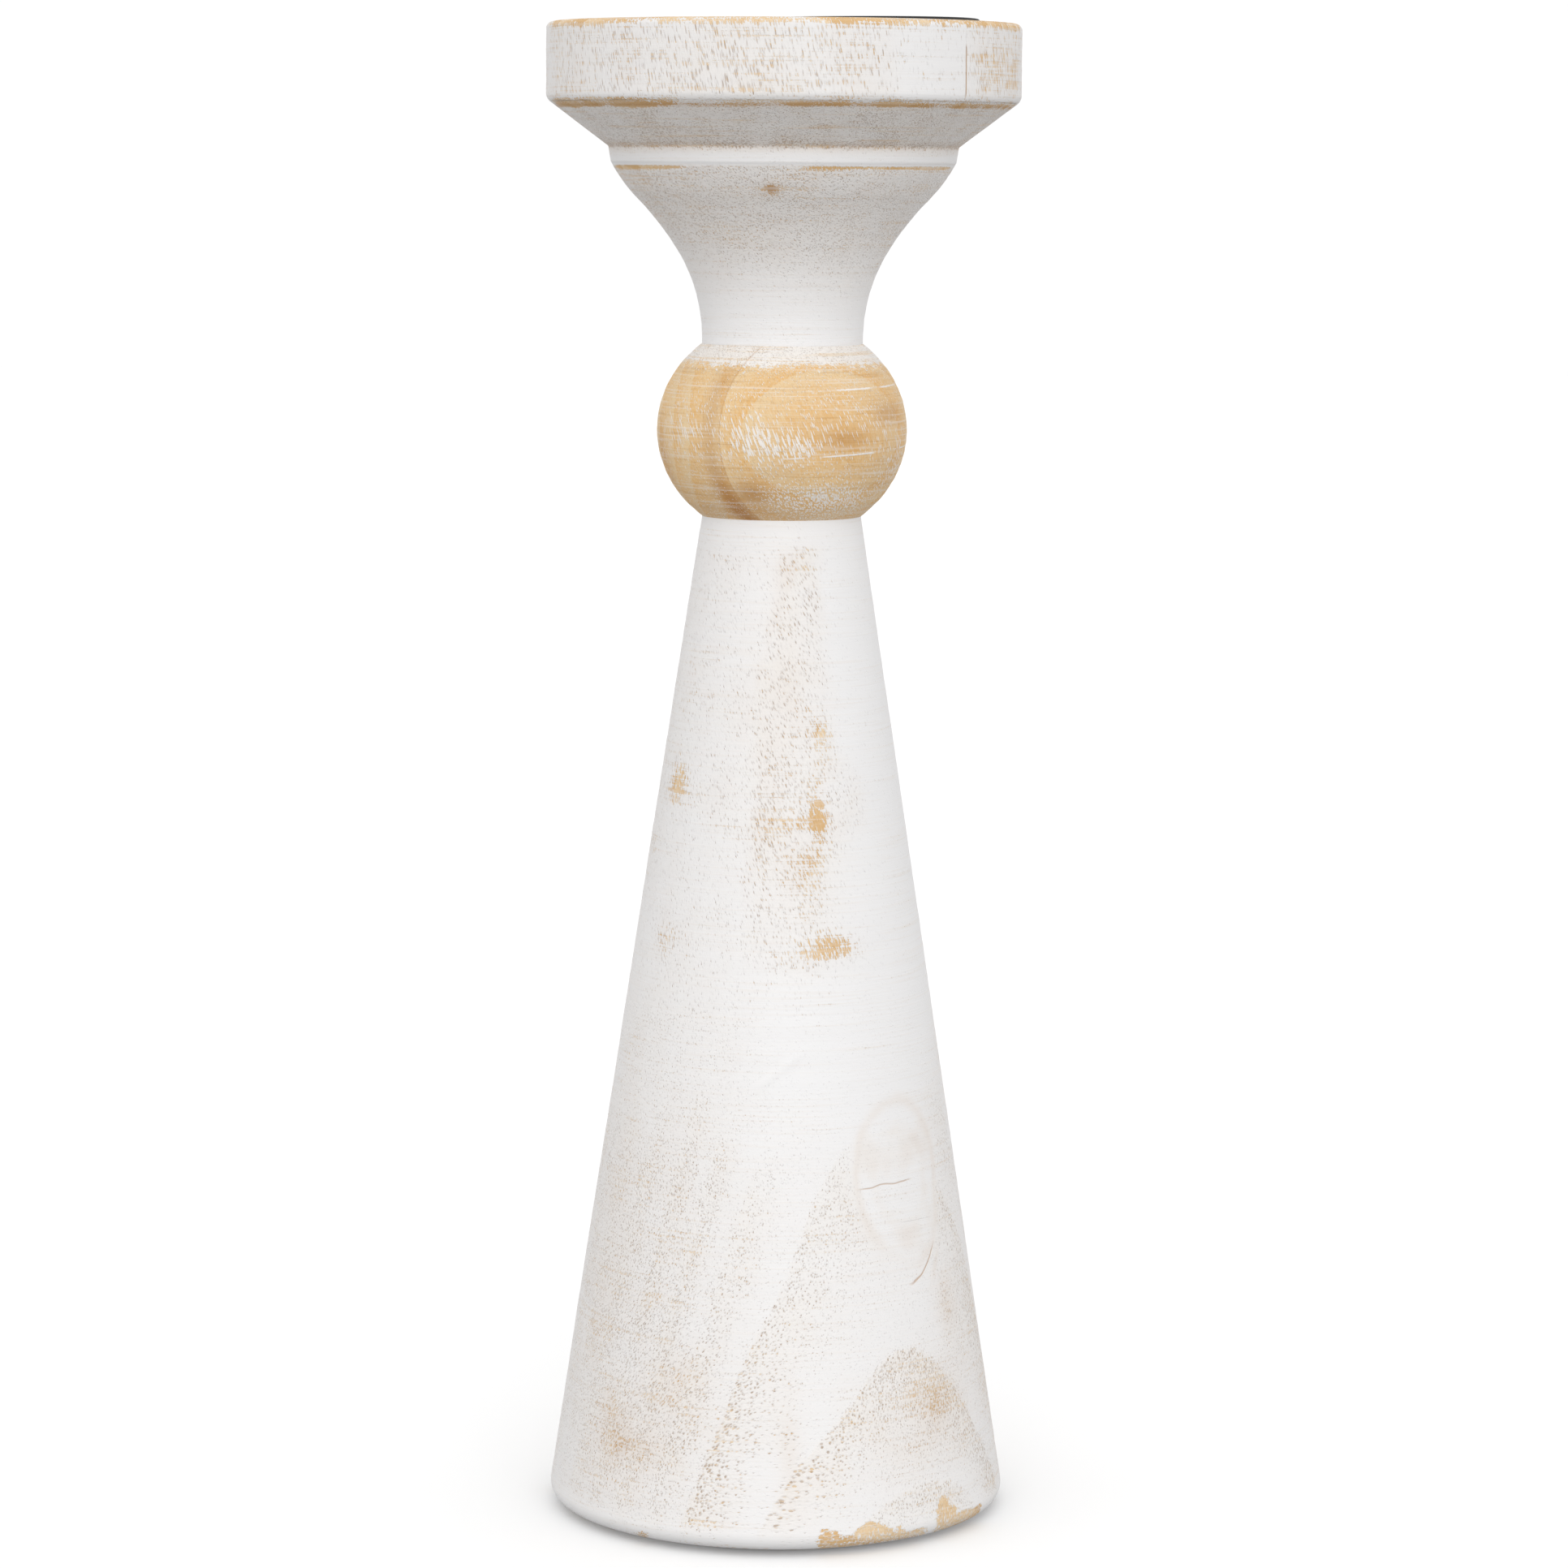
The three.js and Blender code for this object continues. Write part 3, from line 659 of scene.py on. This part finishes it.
def bead_outline():
    """An ellipse's arc about the axis, cut flat at both ends, with the pins' holes in them."""
    low, high = BEAD_LOW - CLOSE_UP, BEAD_HIGH + CLOSE_UP
    middle = (low + high) / 2
    end = math.degrees(math.asin((high - low) / 2 / BEAD_HALF_RISE))
    low_floor, high_floor = LOWER_PIN[1] + PIN_END_GAP, UPPER_PIN[0] - PIN_END_GAP
    return joined(
        straight((0, low_floor), (PIN_HOLE, low_floor), 6),
        straight((PIN_HOLE, low), (PIN_HOLE + 0.01, low), 6),
        round_stretch((0, middle), (BEAD_RADIUS, BEAD_HALF_RISE), -end, end, 0.42),
        straight((PIN_HOLE, high), (PIN_HOLE, high_floor), 20),
        straight((PIN_HOLE - 0.01, high_floor), (0, high_floor), 6),
    )


def bead_relief(at):
    """Lathe ridges a few hundredths of a millimetre high, 1.1 mm apart."""
    side = fade(at["radius"], 15.5, 17.5)
    return side * 0.05 * lumps(at["points"] * [0.05, 0.05, 1], 1.1, 41)


def bead_stains(at):
    """Bare wood between painted ends, with strokes of caught paint, stains, two white scratches, and a lower
    end darkened partly by dirt and partly by painted shade.
    """
    ring = growth(at, "bead")
    ahead = ring["ahead"]
    points, height = at["points"], at["height"]
    small = rough(points, 3.5, 19)
    broad = rough(points, 14, 23)
    facing = turn_from(at["azimuth"], 0)
    fringe = fade(height + 0.6 * small + 0.6 * lumps(points, 1.3, 97), BEAD_HIGH - 7.4, BEAD_HIGH - 2.4)
    # hem is the painted lower end. The extra pores and stain it gets below darken it: partly dirt in the
    # wood, partly painted shade where the bead turns under towards the cone.
    hem = 1 - fade(height + 1.0 * small, BEAD_LOW + 0.8, BEAD_LOW + 5.0)
    bare = 3.2 - 3.1 * fringe - 1.9 * hem
    caught = 0.23 + 0.16 * broad + 0.14 * small
    for azimuth, middle, half_width, half_height, strength in BEAD_STROKES:
        caught = caught + strength * patch(at, azimuth, middle, half_width, half_height, slant=12)
    beside_glue = np.exp(-((ahead + 2.2) / 2.4) ** 2) * (ahead < 0)
    stain = 0.08 + 0.22 * broad + (0.35 + 0.4 * (1 - fade(height, 215, 232))) * beside_glue
    for azimuth, middle, half_width, half_height, strength in BEAD_STAINS:
        stain = stain + strength * patch(at, azimuth, middle, half_width, half_height)
    low_scratch = height - 226.6 - 0.022 * facing
    high_scratch = height - 240.4 - 0.012 * facing
    upper = height > 234
    scratch_strength = np.where(
        upper, stretch(at, 20, 78, 230, 250, 8), stretch(at, 0, 84, 220, 234, 8)
    )
    return {
        "grain": along_fibres(at, 20, 231),
        # The hem's extra pores: partly dirt, partly painted shade under the bead.
        "pores": 0.6 + 0.3 * small + 0.2 * fringe + 0.8 * hem,
        "bare": bare,
        "streaks": 0.35 + 0.2 * small,
        # The hem's added stain: partly dirt, partly painted shade under the bead.
        "stain": np.clip((stain + 0.1 * hem) * (1 - fringe), 0, 1),
        "season": 0.4 * ring["season"],
        "caught": caught,
        "line": ahead,
        "line_strength": np.full_like(bare, 0.3),
        "scratch": np.where(upper, high_scratch, low_scratch),
        "scratch_strength": 0.9 * scratch_strength,
    }


# ---------- the cup ----------

THROAT = 17.05
NECK_STRAIGHT = 0.8
FLARE = ((35, 0, 31), (60, 31, 44.5))  # radius of each hollow arc, and its lean at each end
SHOULDER = (33.6, 44.5, 28.3)
BAND_RISE, BAND_FLARE = 3.4, 0.6
BEVEL_SLOPE = 9.1 / 12.2
RIM = 50.0
RIM_LOWER_EDGE = 2.2
RIM_TOP_EDGE = 1.4
BAND_FOOT = 286.6
BAND_TOP = 290.6
RIM_FOOT = 299.7
RECESS_RADIUS = 42.0
RECESS_DEPTH = 2.6  # 0.8 deeper than the CAD part's, so that the plate can lie askew in it


# Edges rubbed through: first and last azimuth, and strength.
LOWER_EDGE_RUBS = ((-78, -33, 2.6), (-33, 30, 0.95), (30, 80, 1.2), (100, 150, 2.0), (-170, -110, 1.4))
UPPER_EDGE_RUBS = ((-76, -42, 1.4), (-42, 8, 0.9), (8, 80, 1.8), (110, 170, 1.3), (-150, -100, 1.4))
BAND_RUBS = ((-78, -38, 1.9), (8, 75, 1.3), (120, 160, 1.6))


def cup_outline():
    """A short straight neck, two hollow arcs that open it out, a round shoulder, a narrow upright band,
    a sloping bevel, an upright rim with rounded edges, and a round flat-floored recess in its top."""
    low = CUP_LOW - CLOSE_UP
    hole_roof = UPPER_PIN[1] + PIN_END_GAP
    here = np.array([THROAT, CUP_LOW + NECK_STRAIGHT])
    parts = [
        straight((0, hole_roof), (PIN_HOLE, hole_roof), 6),
        straight((PIN_HOLE, low), (THROAT - 0.05, low), 3),
        straight((THROAT, low + 0.05), here, 0.35),
    ]
    for radius, start, end in FLARE:
        lean = math.radians(start)
        centre = here + radius * np.array([math.cos(lean), -math.sin(lean)])
        parts.append(round_stretch(centre, (radius, radius), 180 - start, 180 - end, 0.5))
        here = parts[-1][-1]
    radius, start, end = SHOULDER
    lean = math.radians(start)
    centre = here - radius * np.array([math.cos(lean), -math.sin(lean)])
    parts.append(round_stretch(centre, (radius, radius), -start, -end, 0.5))
    foot = parts[-1][-1]
    top = foot + [BAND_FLARE, BAND_RISE]
    bevel_lean = 90 - math.degrees(math.atan(BEVEL_SLOPE))
    corner_x = RIM - RIM_LOWER_EDGE
    end_x = corner_x + RIM_LOWER_EDGE * math.cos(math.radians(bevel_lean))
    end_y = top[1] + (end_x - top[0]) * BEVEL_SLOPE
    corner_y = end_y + RIM_LOWER_EDGE * math.sin(math.radians(bevel_lean))
    top_x, top_y = RIM - RIM_TOP_EDGE, CUP_HIGH - RIM_TOP_EDGE
    parts += [
        straight(foot + [0.1, 0.1], top - [0, 0.15], 0.4),
        straight(top + [0.15, 0.1], (end_x, end_y), 0.5),
        round_stretch((corner_x, corner_y), (RIM_LOWER_EDGE,) * 2, -bevel_lean, 0, 0.35),
        straight((RIM, corner_y), (RIM, top_y), 0.55),
        round_stretch((top_x, top_y), (RIM_TOP_EDGE,) * 2, 0, 90, 0.25),
        straight((top_x, CUP_HIGH), (RECESS_RADIUS + 0.3, CUP_HIGH), 0.6),
        straight((RECESS_RADIUS, CUP_HIGH - 0.3), (RECESS_RADIUS, CUP_HIGH - RECESS_DEPTH), 0.4),
        straight((RECESS_RADIUS - 0.05, CUP_HIGH - RECESS_DEPTH), (0, CUP_HIGH - RECESS_DEPTH), 1.5),
    ]
    return joined(*parts)


def cup_relief(at):
    """Lathe ridges 1.3 mm apart and slow waves, a few hundredths of a millimetre high."""
    side = fade(at["radius"], 16.5, 17) * (at["height"] < CUP_HIGH - 1.5)
    ridges = 0.03 * lumps(at["points"] * [0.05, 0.05, 1], 1.3, 51)
    return side * (ridges + 0.05 * rough(at["points"], 18, 57))


def cup_stains(at):
    """Pores on the rim, the bevel and the flare, edges rubbed through to the wood, and painted shade in the
    crease at the top of the band.
    """
    ring = growth(at, "cup")
    points, height, radius = at["points"], at["height"], at["radius"]
    small = rough(points, 4, 29)
    broad = rough(points, 20, 33)
    on_rim = fade(height, 300, 302) * (radius > 43)
    on_flare = 1 - fade(height, BAND_FOOT, 287)
    on_bevel = fade(height, 290.2, BAND_TOP) * (1 - fade(height, 299, 300)) * (radius > 30)
    facing = turn_from(at["azimuth"], 0)
    rim_pores = 0.7 + 0.35 * broad + 0.35 * fade(24 - np.abs(facing + 14), 0, 20)
    rim_pores = rim_pores * (1 - 0.8 * fade(facing, 24, 30) * (1 - fade(facing, 46, 50)))
    # The crease where the band meets the bevel above it is partly real wear, with rubbed paint and open
    # pores, and partly painted shade under the bevel: its pores and stain darken it.
    crease_wear_and_shade = np.exp(-(((height - BAND_TOP) / 1.2) ** 2)) * (radius > 30)
    pores = on_rim * rim_pores + on_bevel * (1.1 + 0.6 * small) + 0.7 * crease_wear_and_shade
    pores = pores + on_flare * fade(height, 252, 277) * (1.05 + 0.45 * broad)
    mist = on_flare * fade(height + 9 * broad, 258, 280)
    bare = 0.1 * small + 0.12 * mist + 0.15 * crease_wear_and_shade + 0.2 * on_rim
    streaks = 0.1 * small + 0.32 * on_bevel + 0.1 * on_flare
    # Edges rubbed through: under the rim, round its top, and below the band.
    lower_edge = np.exp(-(((height - RIM_FOOT) / 0.85) ** 2)) * (radius > 47)
    under_edge = np.exp(-(((height - 299.0) / 0.35) ** 2)) * (radius > 46)
    upper_edge = np.exp(-(((height - CUP_HIGH) / 1.4) ** 2)) * (radius > 46)
    under_band = np.exp(-(((height - BAND_FOOT) / 0.45) ** 2)) * on_flare
    for first, last, strength in LOWER_EDGE_RUBS:
        along = stretch(at, first, last, 290, 320, 6) * (0.8 + 0.4 * small)
        bare = bare + strength * (lower_edge + (0.5 + 0.9 * small) * under_edge) * along
    for first, last, strength in UPPER_EDGE_RUBS:
        bare = bare + strength * upper_edge * stretch(at, first, last, 300, 330, 6) * (0.8 + 0.4 * small)
    for first, last, strength in BAND_RUBS:
        bare = bare + strength * under_band * stretch(at, first, last, 280, 290, 5)
        streaks = streaks + 0.12 * strength * stretch(at, first, last, 282.5, 286.5, 3) * on_flare
    crossed = stretch(at, 52, 78, 301.5, 311, 3)
    bare = bare + 0.2 * crossed
    pores = pores + 0.4 * crossed
    streaks = streaks + 0.2 * crossed + 0.3 * lower_edge
    knot = patch(at, -4.4, 282.2, 1.6, 1.2)
    recess = (radius < RECESS_RADIUS + 0.1) & (height > 300)
    bare = np.where(recess, 1.6, bare + 0.8 * knot)
    return {
        "grain": along_fibres(at, np.where(on_rim > 0, 11, 13), np.where(on_rim > 0, 298, 306), 0.3),
        "pores": pores,
        "bare": bare,
        "streaks": streaks,
        "stain": np.clip(
            # The stain in the crease at the band's top is painted shade.
            0.9 * knot + 0.2 * lower_edge + 0.5 * under_edge + 0.05 * mist + 0.04 * on_bevel + 0.3 * crease_wear_and_shade,
            0, 1,
        ),
        "season": ring["season"],
        "line": ring["ahead"],
        "line_strength": 0.8 * on_rim * (1 - fade(height, 310.5, 312)) * (facing > 0),
    }


# ---------- the plate and the pad ----------

PLATE_SHEET = 1.0
PLATE_BEND = 1.2
# Degrees and millimetres. It clears the recess floor all round: nothing in view shows what holds
# its high side up.
PLATE_LIE = (-1.14, -0.1)


def plate_outline():
    """A flat disc whose edge bends up through a quarter circle to a lip with a round top."""
    lip = PLATE_RADIUS - PLATE_SHEET / 2
    bend = PLATE_RADIUS - PLATE_BEND
    inner_bend = PLATE_RADIUS - PLATE_SHEET - 0.6
    return joined(
        straight((0, PLATE_LOW), (bend, PLATE_LOW), 1.5),
        round_stretch((bend, PLATE_LOW + PLATE_BEND), (PLATE_BEND,) * 2, -90, 0, 0.15),
        round_stretch((lip, PLATE_HIGH - PLATE_SHEET / 2), (PLATE_SHEET / 2,) * 2, 0, 180, 0.12),
        straight((inner_bend, PLATE_LOW + PLATE_SHEET), (0, PLATE_LOW + PLATE_SHEET), 1.5),
    )


def no_relief(at):
    """For a pressed or cut piece, which has no tool marks."""
    return np.zeros_like(at["radius"])


def no_stains(at):
    """For a piece whose material needs nothing from its vertices."""
    return {}


def felt_outline():
    """A flat disc with its lower edge eased."""
    ease = 0.35
    return joined(
        straight((0, -FOOT), (FELT_RADIUS - ease, -FOOT), 2.5),
        round_stretch((FELT_RADIUS - ease, -FOOT + ease), (ease, ease), -90, 0, 0.1),
        straight((FELT_RADIUS, FELT_HIGH), (0, FELT_HIGH), 2.5),
    )


# ---------- the pieces ----------

painted = rubbed_paint_on_wood(
    "rubbed_white_paint_on_pine", paint="#e2e1e1", wood="#dcc29c", late_wood="#cca46a",
    deep="#a5773d", chip_strength=0.54,
)
bare_pine = rubbed_paint_on_wood(
    "rubbed_bare_pine", paint="#e6e3e0", wood="#dfc59b", late_wood="#daa658",
    deep="#ac7734", chip_strength=0.97,
)

turned("turned_cone_base", cone_outline(), 400, cone_relief, cone_stains, painted, "stand",
       ("base_front_board", "base_back_board"))
turned("turned_bead", bead_outline(), 420, bead_relief, bead_stains, bare_pine, "stand",
       ("bead_front_board", "bead_back_board"))
turned("turned_cup", cup_outline(), 480, cup_relief, cup_stains, painted, "stand",
       ("cup_left_board", "cup_right_board"))
# The loose plate lies a little askew in its recess, low at the left.
turned("pressed_candle_plate", plate_outline(), 240, no_relief, no_stains, black_powder_coat(),
       "plate", ("candle_plate",), PLATE_LIE)
turned("felt_foot_pad", felt_outline(), 200, no_relief, no_stains, wool_felt(), "stand",
       ("felt_base_pad",))

dowel_material = beech_dowel()
for pin in ("lower_dowel_pin", "upper_dowel_pin"):
    cad_pin = bpy.data.objects[pin]
    cad_pin.data.materials.clear()
    cad_pin.data.materials.append(dowel_material)

# ---------- the studio ----------

FLOOR_RADIUS = 6.0  # metres
FLOOR_SIDES = 96


def pale_floor():
    """A plain pale round floor of rolled paper, with a faint tooth. It gives the object no bounce:
    the world's lower half does that."""
    mesh = bpy.data.meshes.new("floor")
    around = np.linspace(0, 2 * math.pi, FLOOR_SIDES, endpoint=False)
    ring = np.stack([np.cos(around), np.sin(around), np.zeros(FLOOR_SIDES)], -1) * FLOOR_RADIUS
    mesh.from_pydata(ring.tolist(), [], [list(range(FLOOR_SIDES))])
    material, tree = new_material("pale_floor")
    place = put(tree, "ShaderNodeTexCoord", {}, output=3)
    paper = put(tree, "ShaderNodeTexNoise", {"Vector": place, "Scale": 300.0})
    finish_material(tree, {"Base Color": linear("#fafafa"), "Roughness": 0.9}, paper, 0.02)
    mesh.materials.append(material)
    floor = bpy.data.objects.new("floor", mesh)
    bpy.context.scene.collection.objects.link(floor)
    floor.visible_diffuse = False
    floor.visible_shadow = False


def soft_surround():
    """A white surround, a third as bright below the horizon, for the floor's bounce."""
    world = bpy.data.worlds.new("soft_surround")
    world.use_nodes = True
    tree = world.node_tree
    tree.nodes.clear()
    direction = put(tree, "ShaderNodeTexCoord", {}, output=0)
    height = put(tree, "ShaderNodeSeparateXYZ", {0: direction}, output=2)
    strength = put(tree, "ShaderNodeMapRange", {0: height, 1: -0.3, 2: -0.12, 3: 0.32, 4: 1.02}, **SMOOTH)
    background = put(tree, "ShaderNodeBackground", {"Color": (1, 1, 1, 1), "Strength": strength})
    out = tree.nodes.new("ShaderNodeOutputWorld")
    tree.links.new(background, out.inputs["Surface"])
    bpy.context.scene.world = world


def wide_lamp(name, azimuth, elevation, spread, strength):
    """Even soft light from one side of the studio, spread over so many degrees."""
    light = bpy.data.lights.new(name, "SUN")
    light.angle = math.radians(spread)
    light.energy = strength
    lamp = bpy.data.objects.new(name, light)
    lamp.rotation_euler = (math.radians(90 - elevation), 0, math.radians(azimuth))
    bpy.context.scene.collection.objects.link(lamp)


# Metres, degrees and millimetres of lens.
CAMERA_DISTANCE = 1.0693
CAMERA_HEIGHT = 0.2875
CAMERA_SIDE = 0.0009
CAMERA_PITCH = 7.04
CAMERA_ROLL = 0.35
CAMERA_LENS = 115.53


def camera():
    """The camera, turned about its own line of sight because the stand leans a little to one side."""
    data = bpy.data.cameras.new("camera")
    data.sensor_width = 36
    data.lens = CAMERA_LENS
    data.clip_start = 0.05
    seen = bpy.data.objects.new("camera", data)
    seen.location = (CAMERA_SIDE, -CAMERA_DISTANCE, CAMERA_HEIGHT + FOOT * MM)
    level = Euler((math.radians(90 - CAMERA_PITCH), 0, 0)).to_matrix()
    roll = Matrix.Rotation(math.radians(CAMERA_ROLL), 3, "Z")
    seen.rotation_euler = (level @ roll).to_euler()
    bpy.context.scene.collection.objects.link(seen)
    bpy.context.scene.camera = seen


pale_floor()
soft_surround()
wide_lamp("front", azimuth=3, elevation=15, spread=60, strength=1.16)
camera()
bpy.context.scene.view_settings.view_transform = "Standard"
